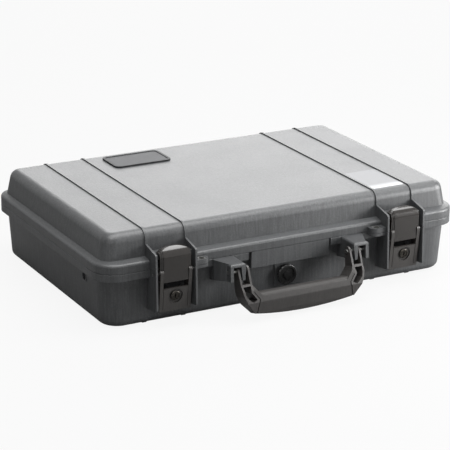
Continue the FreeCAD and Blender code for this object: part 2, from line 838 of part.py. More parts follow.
def hinge_pin():
    """Steel pin through the three knuckles of one hinge."""
    return cylinder_x(hinge_pin_r, bay_middle_x - hinge_half, bay_middle_x + hinge_half, hinge_y,
                      parting_z)


def lever_pin():
    """Steel pin through the two fins that the lever turns on."""
    return cylinder_x(lever_pin_r, rib_inner_x - rib_width / 2, rib_outer_x + rib_width / 2,
                      -lever_pivot_y, lever_pivot_z)


def hook_pin():
    """Steel pin through the lever's two posts that the hook turns on, drawn upright."""
    return cylinder_x(hook_pin_r, bay_middle_x - lever_half_width, bay_middle_x + lever_half_width,
                      -hook_pin_y, hook_pin_z)


def handle_pin():
    """Steel pin through the boss and both prongs of the handle's fork."""
    return cylinder_x(handle_pin_r, prong_inner_x - handle_pin_end, boss_outer_x, -handle_pivot_y,
                      handle_pivot_z)


def make_eye(low_z, high_z):
    """Steel eye that a padlock passes through."""
    hole = Part.makeCylinder(eye_bore_r, high_z - low_z, V(eye_x, -eye_y, low_z))
    return eye_block(low_z, high_z).cut(hole)


def make_socket():
    """Blind socket for the stud of a carrying strap."""
    face_x = socket_face_x()
    hole = cylinder_x(socket_bore_r, face_x - socket_bore_depth, face_x, -socket_y, socket_z)
    return socket_bush(0).cut(hole)


def make_lever():
    """Latch lever: two posts joined by a plate that carries the lock in a round recess."""
    outline = [(-lever_front_y, lever_foot_z), (-lever_front_y, lever_top_z),
               (-lever_pivot_y, lever_top_z), (-lever_neck_y, lever_neck_z), (-lever_foot_y, lever_foot_z)]
    low_x = bay_middle_x - lever_half_width
    high_x = bay_middle_x + lever_half_width
    body = side_prism(outline, low_x, high_x)
    body = body.makeFillet(lever_top_r, edges_along_x(body, -lever_front_y, lever_top_z))
    eye = cylinder_x(lever_eye_r, low_x, high_x, -lever_pivot_y, lever_pivot_z)
    body = fuse([body, eye])
    inner_half = tongue_half + side_gap
    plate_back = lever_plate_t - lever_front_y
    well = box((bay_middle_x - inner_half, plate_back, lever_foot_z + lever_foot_t),
               (bay_middle_x + inner_half, overrun - lever_pivot_y + lever_eye_r, lever_top_z + overrun))
    throat = box((bay_middle_x - inner_half, -lever_front_y - overrun, lever_plate_top_z),
                 (bay_middle_x + inner_half, plate_back + overrun, lever_top_z + overrun))
    pivot = cylinder_x(lever_pin_r + running_gap, low_x, high_x, -lever_pivot_y, lever_pivot_z)
    sleeve = cylinder_y(lock_sleeve_r + fit_gap, -lever_front_y - overrun, overrun + plate_back,
                        bay_middle_x, lock_z)
    recess = cylinder_y(lock_recess_r, -lever_front_y - overrun, -lock_seat_y, bay_middle_x, lock_z)
    tools = [well, throat, pivot, sleeve, recess, hook_pin()]
    for way in (1, -1):
        edge_x = bay_middle_x + way * inner_half
        tools.append(box((edge_x, -lever_front_y - overrun, lever_foot_z + lever_foot_t),
                         (edge_x - way * lever_line_width, lever_line_depth - lever_front_y,
                          lever_plate_top_z + overrun)))
    return leaned(body.cut(tools).removeSplitter())


def hook_profile(inset):
    """Side view of the hook: a flat tongue, a round brow and a claw over the lid's catch."""
    pivot_y = leaned_place(hook_pin_y, hook_pin_z)[0]
    front_y = pivot_y + hook_thickness / 2 - inset
    back_y = pivot_y - hook_thickness / 2
    slope = (catch_top_z - catch_heel_z) / (catch_front_y - catch_heel_y)
    under_end_z = catch_top_z + mating_gap - slope * (catch_front_y - claw_end_y)
    under_root_z = catch_top_z + mating_gap + slope * (back_y - catch_front_y)
    spots = [(-front_y, hook_brow_z), (-front_y, hook_foot_z), (-back_y, hook_foot_z),
             (-back_y, under_root_z), (-claw_end_y, under_end_z), (-claw_end_y, claw_end_z - inset),
             (-hook_top_y, hook_top_z - inset)]
    points = [V(0, y, z) for y, z in spots]
    slant = inset / math.sqrt(2)
    brow = Part.Arc(points[-1], V(0, slant - hook_crown_y, hook_crown_z - slant), points[0]).toShape()
    edges = [Part.LineSegment(a, b).toShape() for a, b in zip(points, points[1:])]
    return Part.Face(Part.Wire(edges + [brow]))


def hook_arch(inset):
    """Space below the arch that the hook's claw makes from side to side."""
    high_z = hook_top_z - inset
    low_z = hook_foot_z - overrun
    left_x = bay_middle_x - hook_half_width
    right_x = bay_middle_x + hook_half_width
    left = V(left_x, -lever_front_y - overrun, high_z - hook_arch_drop)
    right = V(right_x, -lever_front_y - overrun, high_z - hook_arch_drop)
    arch = Part.Arc(left, V(bay_middle_x, -lever_front_y - overrun, high_z), right).toShape()
    sides = Part.makePolygon([right, V(right_x, right.y, low_z), V(left_x, right.y, low_z), left])
    face = Part.Face(Part.Wire([arch] + sides.Edges))
    return face.extrude(V(0, lever_front_y + overrun - catch_heel_y, 0))


def make_hook():
    """Latch hook: pinned to the lever by its tongue, with a wide terraced claw above."""
    pivot_y, pivot_z = leaned_place(hook_pin_y, hook_pin_z)
    face = hook_profile(0)
    face.translate(V(bay_middle_x - tongue_half, 0, 0))
    tongue = face.extrude(V(2 * tongue_half, 0, 0))
    front_y = -pivot_y - hook_thickness / 2
    tongue = tongue.makeFillet(hook_foot_r, edges_along_x(tongue, front_y, hook_foot_z)
                               + edges_along_x(tongue, front_y + hook_thickness, hook_foot_z))
    pieces = [tongue.common(hook_arch(0))]
    for step, half in enumerate((hook_half_width - hook_terrace_width, hook_half_width), 1):
        inset = step * hook_terrace_drop
        layer = hook_profile(inset)
        layer.translate(V(bay_middle_x - half, 0, 0))
        above = box((bay_middle_x - half, -lever_front_y - overrun, hook_shoulder_z),
                    (bay_middle_x + half, -catch_heel_y, hook_top_z + overrun))
        pieces.append(layer.extrude(V(2 * half, 0, 0)).common(hook_arch(inset)).common(above))
    bore = cylinder_x(hook_pin_r + running_gap, bay_middle_x - tongue_half - overrun,
                      bay_middle_x + tongue_half + overrun, -pivot_y, pivot_z)
    return fuse(pieces).cut(bore)


def make_lock_housing():
    """Flanged sleeve of the lock, clamped in the lever's plate."""
    front = -lock_seat_y - lock_flange_t
    flange = cylinder_y(lock_flange_r, front, -lock_seat_y, bay_middle_x, lock_z)
    flange = flange.makeFillet(lock_flange_t / 2, edges_at(flange, 1, front))
    sleeve = cylinder_y(lock_sleeve_r, -lock_seat_y, -lock_sleeve_end_y, bay_middle_x, lock_z)
    bore = cylinder_y(lock_barrel_r + running_gap, front - overrun, overrun - lock_sleeve_end_y,
                      bay_middle_x, lock_z)
    return leaned(fuse([flange, sleeve]).cut(bore))


def make_lock_nut():
    """Six sided nut that holds the lock's sleeve behind the plate."""
    front = lever_plate_t - lever_front_y
    corners = [V(bay_middle_x + lock_nut_r * math.cos(math.radians(60 * step)), front,
                 lock_z + lock_nut_r * math.sin(math.radians(60 * step))) for step in range(6)]
    nut = polygon(corners).extrude(V(0, lock_nut_t, 0))
    return leaned(nut.cut(cylinder_y(lock_sleeve_r + fit_gap, front - overrun, front + lock_nut_t + overrun,
                                     bay_middle_x, lock_z)))


def make_lock_barrel():
    """Turning barrel of the lock, with its keyway."""
    front = lock_barrel_sink - lock_seat_y - lock_flange_t
    barrel = cylinder_y(lock_barrel_r, front, -lock_back_y, bay_middle_x, lock_z)
    keyway = box((bay_middle_x - keyway_width / 2, front - overrun, lock_z - keyway_length / 2),
                 (bay_middle_x + keyway_width / 2, front + keyway_depth, lock_z + keyway_length / 2))
    return leaned(barrel.cut(keyway))


def make_lock_cam():
    """Steel cam on the back of the barrel, hanging down while the lock is open."""
    half = cam_width / 2
    head = cylinder_y(half, -lock_back_y, cam_t - lock_back_y, bay_middle_x, lock_z)
    tail = box((bay_middle_x - half, -lock_back_y, lock_z - cam_reach),
               (bay_middle_x + half, cam_t - lock_back_y, lock_z))
    return leaned(fuse([head, tail]))


def handle_spots(spots):
    """Places in the handle's front view, from distances in from the arm's face and below the pivot."""
    return [(arm_out_x - inward, below) for inward, below in spots]


def handle_outline():
    """Front view of the whole handle without its forks and windows."""
    inner = handle_spots([(grip_top_in, grip_top_s), (grip_gusset_in, grip_gusset_s)])
    inner += [(prong_inner_x, fork_depth + crossbar_t / 2), (prong_inner_x, -prong_eye_r)]
    outer = handle_spots([(0, -prong_eye_r), (arm_knee_in, arm_knee_s), (arm_low_in, arm_low_s),
                          (arm_elbow_in, arm_elbow_s), (handle_corner_in, handle_corner_s)])
    points = [V(x, 0, -s) for x, s in inner + outer]
    edges = [Part.LineSegment(a, b).toShape() for a, b in zip(points, points[1:])]
    left = [V(-point.x, 0, point.z) for point in points]
    edges += [Part.LineSegment(a, b).toShape() for a, b in zip(left, left[1:])]
    edges.append(Part.Arc(points[-1], V(0, 0, -handle_sag_s), left[-1]).toShape())
    edges.append(Part.LineSegment(left[0], points[0]).toShape())
    return Part.Face(Part.Wire(Part.sortEdges(edges)[0]))


def handle_side(inset):
    """Side view of the handle as a solid across its whole width, thinner by an inset."""
    half = arm_out_x + overrun
    end_s = handle_sag_s + overrun
    front = [(prong_eye_r, 0), (arm_depth, arm_depth_s), (belly_depth, belly_s),
             (grip_front_depth, grip_depth_s), (foot_front_depth, handle_corner_s),
             (foot_front_depth / 2, end_s)]
    back = [(foot_back_depth / 2, end_s), (foot_back_depth, handle_corner_s),
            (grip_back_depth, grip_depth_s), (arm_depth, arm_depth_s), (prong_eye_r, 0)]
    profile = [(inset - depth, -s) for depth, s in front] + [(depth - inset, -s) for depth, s in back]
    return fuse([side_prism(profile, -half, half), cylinder_x(prong_eye_r, -half, half, 0, 0)])


def front_prism(points):
    """Cutter through the handle, from a front view of places across and below the pivot."""
    reach = grip_front_depth + overrun
    face = polygon([V(x, -reach, -s) for x, s in points])
    return face.extrude(V(0, 2 * reach, 0))


def handle_blank():
    """Handle before it is split into its hard frame and its soft grip."""
    reach = grip_front_depth + overrun
    front = handle_outline()
    front.translate(V(0, -reach, 0))
    return front.extrude(V(0, 2 * reach, 0)).common(handle_side(0))


def split_line():
    """Line between the frame's right arm and the grip, down to the bottom of the handle."""
    return handle_spots([(split_knee_in, split_knee_s), (split_low_in, split_low_s),
                         (split_foot_in, split_foot_s), (handle_corner_in, handle_sag_s + overrun)])


def arm_region():
    """The part of the right arm that belongs to the hard frame."""
    top = -prong_eye_r - overrun
    return front_prism([(prong_inner_x - overrun, top),
                        (prong_inner_x - overrun, fork_depth + crossbar_t / 2)] + split_line()
                       + [(arm_out_x + overrun, handle_sag_s + overrun), (arm_out_x + overrun, top)])


def split_groove():
    """Shallow groove round the right end of the grip, beside the arm."""
    line = split_line()
    beside = [(x - split_groove_width, s) for x, s in line]
    return front_prism(line + beside[::-1]).cut(handle_side(split_groove_depth))


def fork_slot():
    """Space between the two prongs of the right fork."""
    top = -prong_eye_r - overrun
    return front_prism([(prong_inner_x + prong_t, top), (prong_inner_x + prong_t, fork_depth),
                        (prong_outer_x, fork_depth), (prong_outer_x, top)])


def arm_window():
    """Hole through the right arm below the fork."""
    top = fork_depth + crossbar_t
    lower = handle_spots([(arm_knee_in + arm_rail_t, arm_knee_s), (arm_low_in + arm_rail_t, arm_low_s),
                          (arm_elbow_in + arm_rail_t, window_elbow_s), (window_low_in, window_low_s),
                          (split_low_in - arm_rail_t, split_low_s),
                          (split_knee_in - arm_rail_t, split_knee_s)])
    return front_prism([(prong_inner_x + prong_t, top), (prong_outer_x, top)] + lower)


def hung(shape):
    """Places a piece of the handle at its pivot, swung out to where it rests."""
    shape.rotate(V(0, 0, 0), V(1, 0, 0), -handle_rest_tilt)
    shape.translate(V(0, -handle_pivot_y, handle_pivot_z))
    return shape


def make_handle_core(blank):
    """Hard frame of the handle: two forked arms joined by a bar inside the grip."""
    arms = []
    for side in (1, -1):
        arm = blank.common(mirrored(arm_region(), side))
        arm = arm.cut([mirrored(fork_slot(), side), mirrored(arm_window(), side)])
        arms.append(arm)
    bar_end = arm_out_x - split_foot_in + arm_rail_t / 2
    bar = box((-bar_end, -core_bar_half_depth, -core_bar_low_s),
              (bar_end, core_bar_half_depth, -core_bar_top_s))
    bar = bar.cut([mirrored(arm_window(), side) for side in (1, -1)])
    core = fuse(arms + [bar])
    bore = cylinder_x(handle_pin_r + running_gap, -arm_out_x - overrun, arm_out_x + overrun, 0, 0)
    return core.cut(bore)


def make_handle_grip(blank, core):
    """Rubber grip moulded round the bar of the frame."""
    grip = blank.cut([mirrored(arm_region(), side) for side in (1, -1)])
    long_edges = edges_along_x(grip, -grip_front_depth, -grip_depth_s)
    long_edges += edges_along_x(grip, grip_back_depth, -grip_depth_s)
    grip = grip.makeFillet(grip_edge_r, long_edges)
    top_edges = [edge for edge in edges_at(grip, 2, -grip_top_s)
                 if near(edge.BoundBox.YMin, edge.BoundBox.YMax)]
    grip = grip.makeFillet(grip_edge_r, top_edges)
    return grip.cut([core] + [mirrored(split_groove(), side) for side in (1, -1)])


def make_valve_body():
    """Valve body: a flange outside the wall and a hollow shank through it."""
    seat = -valve_seat_y - valve_gasket_t
    flange = cylinder_y(valve_flange_r, seat - valve_flange_t, seat, 0, valve_z)
    shank = cylinder_y(valve_shank_r, seat, -valve_inner_y, 0, valve_z)
    bore = cylinder_y(valve_stem_r + running_gap, seat - valve_flange_t - overrun, overrun - valve_inner_y,
                      0, valve_z)
    return fuse([flange, shank]).cut(bore)


def make_valve_gasket():
    """Rubber washer under the valve's flange."""
    disc = cylinder_y(valve_flange_r, -valve_seat_y - valve_gasket_t, -valve_seat_y, 0, valve_z)
    return disc.cut(cylinder_y(valve_shank_r, -valve_seat_y - valve_gasket_t, -valve_seat_y, 0, valve_z))


def make_valve_nut():
    """Nut that clamps the valve from inside the base."""
    corners = [V(valve_nut_r * math.cos(math.radians(60 * step)), -valve_nut_y,
                 valve_z + valve_nut_r * math.sin(math.radians(60 * step))) for step in range(6)]
    nut = polygon(corners).extrude(V(0, valve_nut_t, 0))
    return nut.cut(cylinder_y(valve_shank_r, -valve_nut_y, valve_nut_t - valve_nut_y, 0, valve_z))


def make_valve_knob():
    """Round knob that is turned to open the valve."""
    back = -valve_seat_y - valve_gasket_t - valve_flange_t - valve_knob_gap
    front = back - valve_knob_t
    knob = cylinder_y(valve_knob_r, front, back, 0, valve_z)
    knob = knob.makeFillet(valve_knob_edge_r, edges_at(knob, 1, front))
    dish = cylinder_y(valve_knob_lip_r, front - overrun, front + valve_knob_dish, 0, valve_z)
    dish = dish.cut(cylinder_y(valve_knob_hub_r, front - overrun, front + valve_knob_dish, 0, valve_z))
    flutes = []
    for step in range(valve_knob_flutes):
        turn = math.radians(360 * step / valve_knob_flutes)
        reach = valve_knob_r + valve_knob_flute_r / 2
        flutes.append(cylinder_y(valve_knob_flute_r, front - overrun, back + overrun,
                                 reach * math.cos(turn), valve_z + reach * math.sin(turn)))
    stem = cylinder_y(valve_stem_r, back, -valve_stem_end_y, 0, valve_z)
    return fuse([knob.cut([dish] + flutes), stem])


def make_base_foam():
    """Foam block in the base with a pocket for the laptop."""
    low_z = floor_top_z + mating_gap
    low = [half - soft_gap for half in base_half_at(low_z)]
    high = [half - soft_gap for half in base_half_at(base_foam_top_z)]
    foam = tapered(low, high, base_corner_r - wall_t, low_z, base_foam_top_z)
    pocket = slab(pocket_half_x, pocket_half_y, pocket_corner_r, base_foam_top_z - pocket_depth,
                  base_foam_top_z + overrun)
    notch = box((-valve_foam_half, -base_top_half_y, valve_z - valve_foam_half),
                (valve_foam_half, valve_foam_depth - base_half_at(valve_z)[1], valve_z + valve_foam_half))
    return foam.cut([pocket, notch])


def make_lid_foam():
    """Foam pad in the lid that presses on the laptop."""
    high_z = lid_ceiling_z - mating_gap
    low = [half - soft_gap for half in lid_half_at(lid_foam_low_z)]
    high = [half - soft_gap for half in lid_half_at(high_z)]
    pad = tapered(low, high, lid_cavity_corner_r, lid_foam_low_z, high_z)
    return pad.makeFillet(foam_edge_r, edges_at(pad, 2, lid_foam_low_z))


def lid_plate(low, high, corner_r, low_z, high_z):
    """Flat plate with round corners on the lid, between two corners of X and Y."""
    half_x = (high[0] - low[0]) / 2
    half_y = (high[1] - low[1]) / 2
    plate = slab(half_x, half_y, corner_r, low_z, high_z)
    plate.translate(V(low[0] + half_x, low[1] + half_y, 0))
    return plate


def make_nameplate():
    """Raised frame of the nameplate, with a sunk floor."""
    low = (plate_low_x, plate_low_y)
    high = (plate_high_x, plate_high_y)
    top_z = lid_top_z + plate_t
    plate = lid_plate(low, high, plate_corner_r, lid_top_z, top_z)
    plate = plate.makeFillet(plate_edge_r, edges_at(plate, 2, top_z))
    well_low = [place + plate_frame_width for place in low]
    well_high = [place - plate_frame_width for place in high]
    well = lid_plate(well_low, well_high, plate_corner_r - plate_frame_width, lid_top_z + plate_floor_t,
                     top_z + overrun)
    return plate.cut(well)


def make_inlay():
    """Bare inlay on the floor of the nameplate."""
    inset = plate_frame_width + inlay_gap
    low = (plate_low_x + inset, plate_low_y + inset)
    high = (plate_high_x - inset, plate_high_y - inset)
    floor_z = lid_top_z + plate_floor_t
    return lid_plate(low, high, plate_corner_r - inset, floor_z, floor_z + inlay_t)


def make_label():
    """Clear film stuck on the lid in front of the right latch."""
    return lid_plate((label_low_x, label_low_y), (label_high_x, label_high_y), label_corner_r,
                     lid_top_z, lid_top_z + label_t)


def build():
    """Every piece of the case, by name."""
    nodes = {"base_shell": make_base_shell(), "lid_shell": make_lid_shell(), "lid_seal": make_seal(),
             "base_foam": make_base_foam(), "lid_foam": make_lid_foam(),
             "nameplate_frame": make_nameplate(), "nameplate_inlay": make_inlay(),
             "label_film": make_label(), "valve_body": make_valve_body(),
             "valve_gasket": make_valve_gasket(), "valve_nut": make_valve_nut(),
             "valve_knob": make_valve_knob()}
    blank = handle_blank()
    core = make_handle_core(blank)
    nodes["handle_grip"] = hung(make_handle_grip(blank, core))
    nodes["handle_frame"] = hung(core)
    for name, side in SIDES:
        nodes["hinge_pin_" + name] = mirrored(hinge_pin(), side)
        nodes["latch_pin_" + name] = mirrored(lever_pin(), side)
        nodes["hook_pin_" + name] = mirrored(leaned(hook_pin()), side)
        nodes["handle_pin_" + name] = mirrored(handle_pin(), side)
        nodes["base_padlock_eye_" + name] = mirrored(make_eye(lug_low_z, base_top_z), side)
        nodes["lid_padlock_eye_" + name] = mirrored(make_eye(lid_low_z, lug_top_z), side)
        nodes["strap_socket_" + name] = mirrored(make_socket(), side)
        nodes["latch_lever_" + name] = mirrored(make_lever(), side)
        nodes["latch_hook_" + name] = mirrored(make_hook(), side)
        nodes["lock_housing_" + name] = mirrored(make_lock_housing(), side)
        nodes["lock_nut_" + name] = mirrored(make_lock_nut(), side)
        nodes["lock_barrel_" + name] = mirrored(make_lock_barrel(), side)
        nodes["lock_cam_" + name] = mirrored(make_lock_cam(), side)
    return nodes


nodes = build()
whole = Part.Compound(list(nodes.values())).optimalBoundingBox(False)
shift_y = -(whole.YMin + whole.YMax) / 2
os.makedirs("parts", exist_ok=True)
for name, shape in nodes.items():
    shape.translate(V(0, shift_y, 0))
    shape.exportStep("parts/" + name + ".step")
    if not shape.isValid() or len(shape.Solids) != 1:
        print("look at", name, shape.isValid(), len(shape.Solids))
print("pieces", len(nodes), "shift along Y", round(shift_y, 4))
print("size", round(whole.XLength, 2), round(whole.YLength, 2), round(whole.ZLength, 2))
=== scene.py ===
import math
import bmesh
import bpy
from mathutils import Matrix, Vector


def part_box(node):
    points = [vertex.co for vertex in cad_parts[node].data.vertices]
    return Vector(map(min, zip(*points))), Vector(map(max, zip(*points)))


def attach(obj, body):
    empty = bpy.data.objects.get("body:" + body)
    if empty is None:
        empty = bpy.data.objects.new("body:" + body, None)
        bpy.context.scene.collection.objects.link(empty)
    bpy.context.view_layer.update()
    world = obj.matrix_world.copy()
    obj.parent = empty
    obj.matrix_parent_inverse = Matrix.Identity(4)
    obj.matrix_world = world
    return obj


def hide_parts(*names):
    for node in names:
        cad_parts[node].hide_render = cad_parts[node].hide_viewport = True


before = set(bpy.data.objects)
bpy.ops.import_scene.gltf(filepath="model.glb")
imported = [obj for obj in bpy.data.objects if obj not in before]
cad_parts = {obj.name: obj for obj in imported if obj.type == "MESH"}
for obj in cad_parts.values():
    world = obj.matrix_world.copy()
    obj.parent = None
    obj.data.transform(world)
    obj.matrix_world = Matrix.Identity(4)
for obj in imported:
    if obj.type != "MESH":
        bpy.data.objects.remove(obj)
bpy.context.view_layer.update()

MM = 0.001


# Shells
# The base and the lid are injection moulded from filled polypropylene. The mould is spark eroded, which
# leaves a pebbled skin, and the walls have faint draw marks where they slid out of it. Here, and on the
# moulded pieces below, the pebbles are drawn wide enough to show, and not at a measured size.
def linear(text):
    """Linear colour of an sRGB hex value."""
    parts = [int(text[place:place + 2], 16) / 255 for place in (1, 3, 5)]
    return [part / 12.92 if part <= 0.04045 else ((part + 0.055) / 1.055) ** 2.4 for part in parts] + [1.0]


def add(tree, kind, settings=(), **links):
    """Adds a node with its settings, and feeds its sockets with values or with other nodes' outputs."""
    node = tree.nodes.new(kind)
    for name, value in dict(settings).items():
        setattr(node, name, value)
    for name, value in links.items():
        key = int(name[1:]) if name[0] == "_" and name[1:].isdigit() else name.replace("_", " ")
        if isinstance(value, bpy.types.NodeSocket):
            tree.links.new(value, node.inputs[key])
        else:
            node.inputs[key].default_value = value
    return node


def material(name, colour, roughness, **surface):
    """New material with its own colour, and its Principled shader ready for patterns."""
    new = bpy.data.materials.new(name)
    new.use_nodes = True
    shader = new.node_tree.nodes["Principled BSDF"]
    shader.inputs["Base Color"].default_value = linear(colour)
    shader.inputs["Roughness"].default_value = roughness
    for key, value in surface.items():
        shader.inputs[key.replace("_", " ")].default_value = value
    new.diffuse_color = linear(colour)
    return new, new.node_tree, shader


def mottled(tree, shader, pattern, low, high, target, span=(0.35, 0.65)):
    """Feeds a pattern into a colour or a value of the shader, from low to high over its span."""
    if isinstance(low, str):
        ramp = add(tree, "ShaderNodeValToRGB", (), Fac=pattern)
        ramp.color_ramp.elements[0].position = span[0]
        ramp.color_ramp.elements[1].position = span[1]
        ramp.color_ramp.elements[0].color = linear(low)
        ramp.color_ramp.elements[1].color = linear(high)
        tree.links.new(ramp.outputs["Color"], shader.inputs[target])
    else:
        spread = add(tree, "ShaderNodeMapRange", (), Value=pattern, From_Min=span[0], From_Max=span[1],
                     To_Min=low, To_Max=high)
        tree.links.new(spread.outputs["Result"], shader.inputs[target])


def dress(names, finish):
    """Gives CAD nodes their finish."""
    for name in names:
        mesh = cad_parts[name].data
        mesh.materials.clear()
        mesh.materials.append(finish)


def pebbled(name, dark, light, roughness, grain, depth, specular=0.5):
    """Moulded plastic with a pebbled skin: grain is a pebble's width and depth its height, in metres.

    Draw marks run up and down, and the gloss changes a little in clouds many grains wide."""
    cloud_grains, marks_per_grain, mark_squash, gloss_spread = 30, 0.7, 0.05, 0.01
    new, tree, shader = material(name, light, roughness, Specular_IOR_Level=specular)
    place = add(tree, "ShaderNodeTexCoord").outputs["Object"]
    fine = add(tree, "ShaderNodeTexNoise", (), Vector=place, Scale=1 / grain, Detail=3.0, Roughness=0.6)
    cloud = add(tree, "ShaderNodeTexNoise", (), Vector=place, Scale=1 / (cloud_grains * grain), Detail=4.0)
    stretch = add(tree, "ShaderNodeMapping", (), Vector=place, Scale=(1.0, 1.0, mark_squash))
    draw = add(tree, "ShaderNodeTexNoise", (), Vector=stretch.outputs["Vector"],
               Scale=marks_per_grain / grain, Detail=3.0)
    both = add(tree, "ShaderNodeMath", {"operation": "ADD"}, _0=fine.outputs["Fac"],
               _1=draw.outputs["Fac"])
    tint = add(tree, "ShaderNodeMath", {"operation": "MULTIPLY"}, _0=fine.outputs["Fac"],
               _1=draw.outputs["Fac"])
    bump = add(tree, "ShaderNodeBump", (), Height=both.outputs["Value"], Strength=0.5, Distance=depth)
    tree.links.new(bump.outputs["Normal"], shader.inputs["Normal"])
    mottled(tree, shader, tint.outputs["Value"], dark, light, "Base Color", (0.12, 0.40))
    mottled(tree, shader, cloud.outputs["Fac"], roughness - gloss_spread, roughness + gloss_spread,
            "Roughness")
    return new


shell_plastic = pebbled("polypropylene_spark_eroded", "#292a2b", "#3b3c3d", 0.45, 1.6 * MM, 0.22 * MM, 0.42)
dress(["base_shell", "lid_shell"], shell_plastic)


# Lid seal
# A closed strip of black silicone, moulded and pressed into the top of the groove in the lid, over the
# tongue of the base. The gasket of the valve is of the same rubber.
seal_rubber = pebbled("silicone_moulded", "#141414", "#1c1c1c", 0.55, 0.8 * MM, 0.03 * MM)
dress(["lid_seal", "valve_gasket"], seal_rubber)


# Latch levers
# Each lever turns on a pin between two fins of the base. It is moulded in glass filled nylon, with a satin
# face that is a little browner than the shells.
lever_plastic = pebbled("nylon_satin_moulded", "#201e1d", "#2b2927", 0.40, 0.9 * MM, 0.03 * MM, 0.4)
dress(["latch_lever_left", "latch_lever_right"], lever_plastic)


# Latch hooks
# Each hook turns on a pin in its lever and holds a catch of the lid. It is moulded in black acetal with a
# polished face, which mirrors the room in its round brow.
hook_plastic = pebbled("acetal_polished", "#161412", "#1d1a18", 0.16, 2.5 * MM, 0.01 * MM)
dress(["latch_hook_left", "latch_hook_right"], hook_plastic)


# Locks
# Housing and barrel are die cast zinc, blackened in a bath, which leaves a satin metal in darker and
# browner clouds.
lock_metal, tree, shader = material("zinc_blackened", "#3a3632", 0.34, Metallic=1.0)
place = add(tree, "ShaderNodeTexCoord").outputs["Object"]
bath_cloud = 1.5 * MM
worn = add(tree, "ShaderNodeTexNoise", (), Vector=place, Scale=1 / bath_cloud, Detail=4.0)
mottled(tree, shader, worn.outputs["Fac"], "#1f1e1c", "#45423e", "Base Color")
dress(["lock_housing_left", "lock_housing_right", "lock_barrel_left", "lock_barrel_right"], lock_metal)


# Pins, eyes, lock nuts and cams
# Stainless steel bar and strip. Drawing and rolling leave fine lines, which run from side to side here and
# are drawn coarser than real ones to show.
steel, tree, shader = material("stainless_drawn", "#a6a6a4", 0.3, Metallic=1.0)
place = add(tree, "ShaderNodeTexCoord").outputs["Object"]
line_squash, line_width = 0.03, 0.4 * MM
along = add(tree, "ShaderNodeMapping", (), Vector=place, Scale=(line_squash, 1.0, 1.0))
lines = add(tree, "ShaderNodeTexNoise", (), Vector=along.outputs["Vector"], Scale=1 / line_width, Detail=3.0)
mottled(tree, shader, lines.outputs["Fac"], 0.24, 0.42, "Roughness")
mottled(tree, shader, lines.outputs["Fac"], "#8e8e8c", "#b4b4b2", "Base Color")
for side in ("left", "right"):
    dress([piece + side for piece in ("hinge_pin_", "latch_pin_", "hook_pin_", "handle_pin_",
                                      "base_padlock_eye_", "lid_padlock_eye_", "lock_nut_", "lock_cam_")],
          steel)


# Handle frame and grip
# The frame is glass filled nylon. The grip is a thermoplastic rubber moulded over its bar, matt and
# warm grey where hands have polished it.
frame_plastic = pebbled("nylon_handle_moulded", "#242221", "#302e2d", 0.42, 0.9 * MM, 0.03 * MM, 0.4)
grip_rubber = pebbled("rubber_overmoulded", "#232221", "#2e2c2b", 0.60, 1.1 * MM, 0.05 * MM, 0.25)
dress(["handle_frame"], frame_plastic)
dress(["handle_grip"], grip_rubber)


# Pressure valve and strap sockets
# The body, nut and knob of the valve are moulded in black nylon with a fine satin skin. The sockets are
# bushes of the plastic of the shells, pressed into the end walls.
valve_plastic = pebbled("nylon_black_satin", "#101010", "#181818", 0.26, 0.8 * MM, 0.02 * MM)
dress(["valve_body", "valve_nut", "valve_knob"], valve_plastic)
dress(["strap_socket_left", "strap_socket_right"], shell_plastic)


# Nameplate
# A frame moulded in ABS sits on the lid and holds a bare inlay. Both have a satin face and are darker than
# the lid under them.
plate_plastic = pebbled("abs_plate_satin", "#151617", "#1d1e1f", 0.50, 0.9 * MM, 0.02 * MM, 0.12)
inlay_plastic = pebbled("abs_inlay_satin", "#1c1d1f", "#26272a", 0.45, 1.0 * MM, 0.02 * MM, 0.08)
dress(["nameplate_frame"], plate_plastic)
dress(["nameplate_inlay"], inlay_plastic)


# Label
# A bare film of clear polyester, stuck to the lid with a white adhesive. It is whitest at its front edge
# and darkens towards the back.
label_film, tree, shader = material("polyester_film", "#77787a", 0.45, Specular_IOR_Level=0.4)
place = add(tree, "ShaderNodeTexCoord").outputs["Object"]
apart = add(tree, "ShaderNodeSeparateXYZ", (), Vector=place)
label_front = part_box("label_film")[0][1]
white_end, clear_start = label_front + 2 * MM, label_front + 16 * MM
faded = add(tree, "ShaderNodeMapRange", (), Value=apart.outputs["Y"], From_Min=white_end,
            From_Max=clear_start)
mottled(tree, shader, faded.outputs["Result"], "#8f9092", "#4c4d4f", "Base Color", (0.0, 1.0))
dress(["label_film"], label_film)


# Foam
# Open cell polyurethane. The base block is cut out for the laptop, and the pad in the lid is cut on
# a convoluting machine, which leaves rows of soft peaks.
def cells(name, dark, light, cell):
    """Open cell foam: cell is a cell's width in metres, drawn coarser than a real one to show."""
    new, tree, shader = material(name, light, 0.95, Specular_IOR_Level=0.15)
    place = add(tree, "ShaderNodeTexCoord").outputs["Object"]
    holes = add(tree, "ShaderNodeTexVoronoi", {"feature": "SMOOTH_F1"}, Vector=place, Scale=1 / cell)
    bump = add(tree, "ShaderNodeBump", (), Height=holes.outputs["Distance"], Strength=0.8, Distance=cell / 3)
    tree.links.new(bump.outputs["Normal"], shader.inputs["Normal"])
    # The pits of the cells are painted darker than their rims: painted shade in the hollows.
    mottled(tree, shader, holes.outputs["Distance"], dark, light, "Base Color", (0.15, 0.75))
    return new


def piece(name, mesh, finish, slot, body):
    """Puts a finished mesh into the scene and onto its body."""
    data = bpy.data.meshes.new(name)
    mesh.to_mesh(data)
    mesh.free()
    data.materials.append(finish)
    new = bpy.data.objects.new(name, data)
    bpy.context.scene.collection.objects.link(new)
    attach(new, body)
    return new


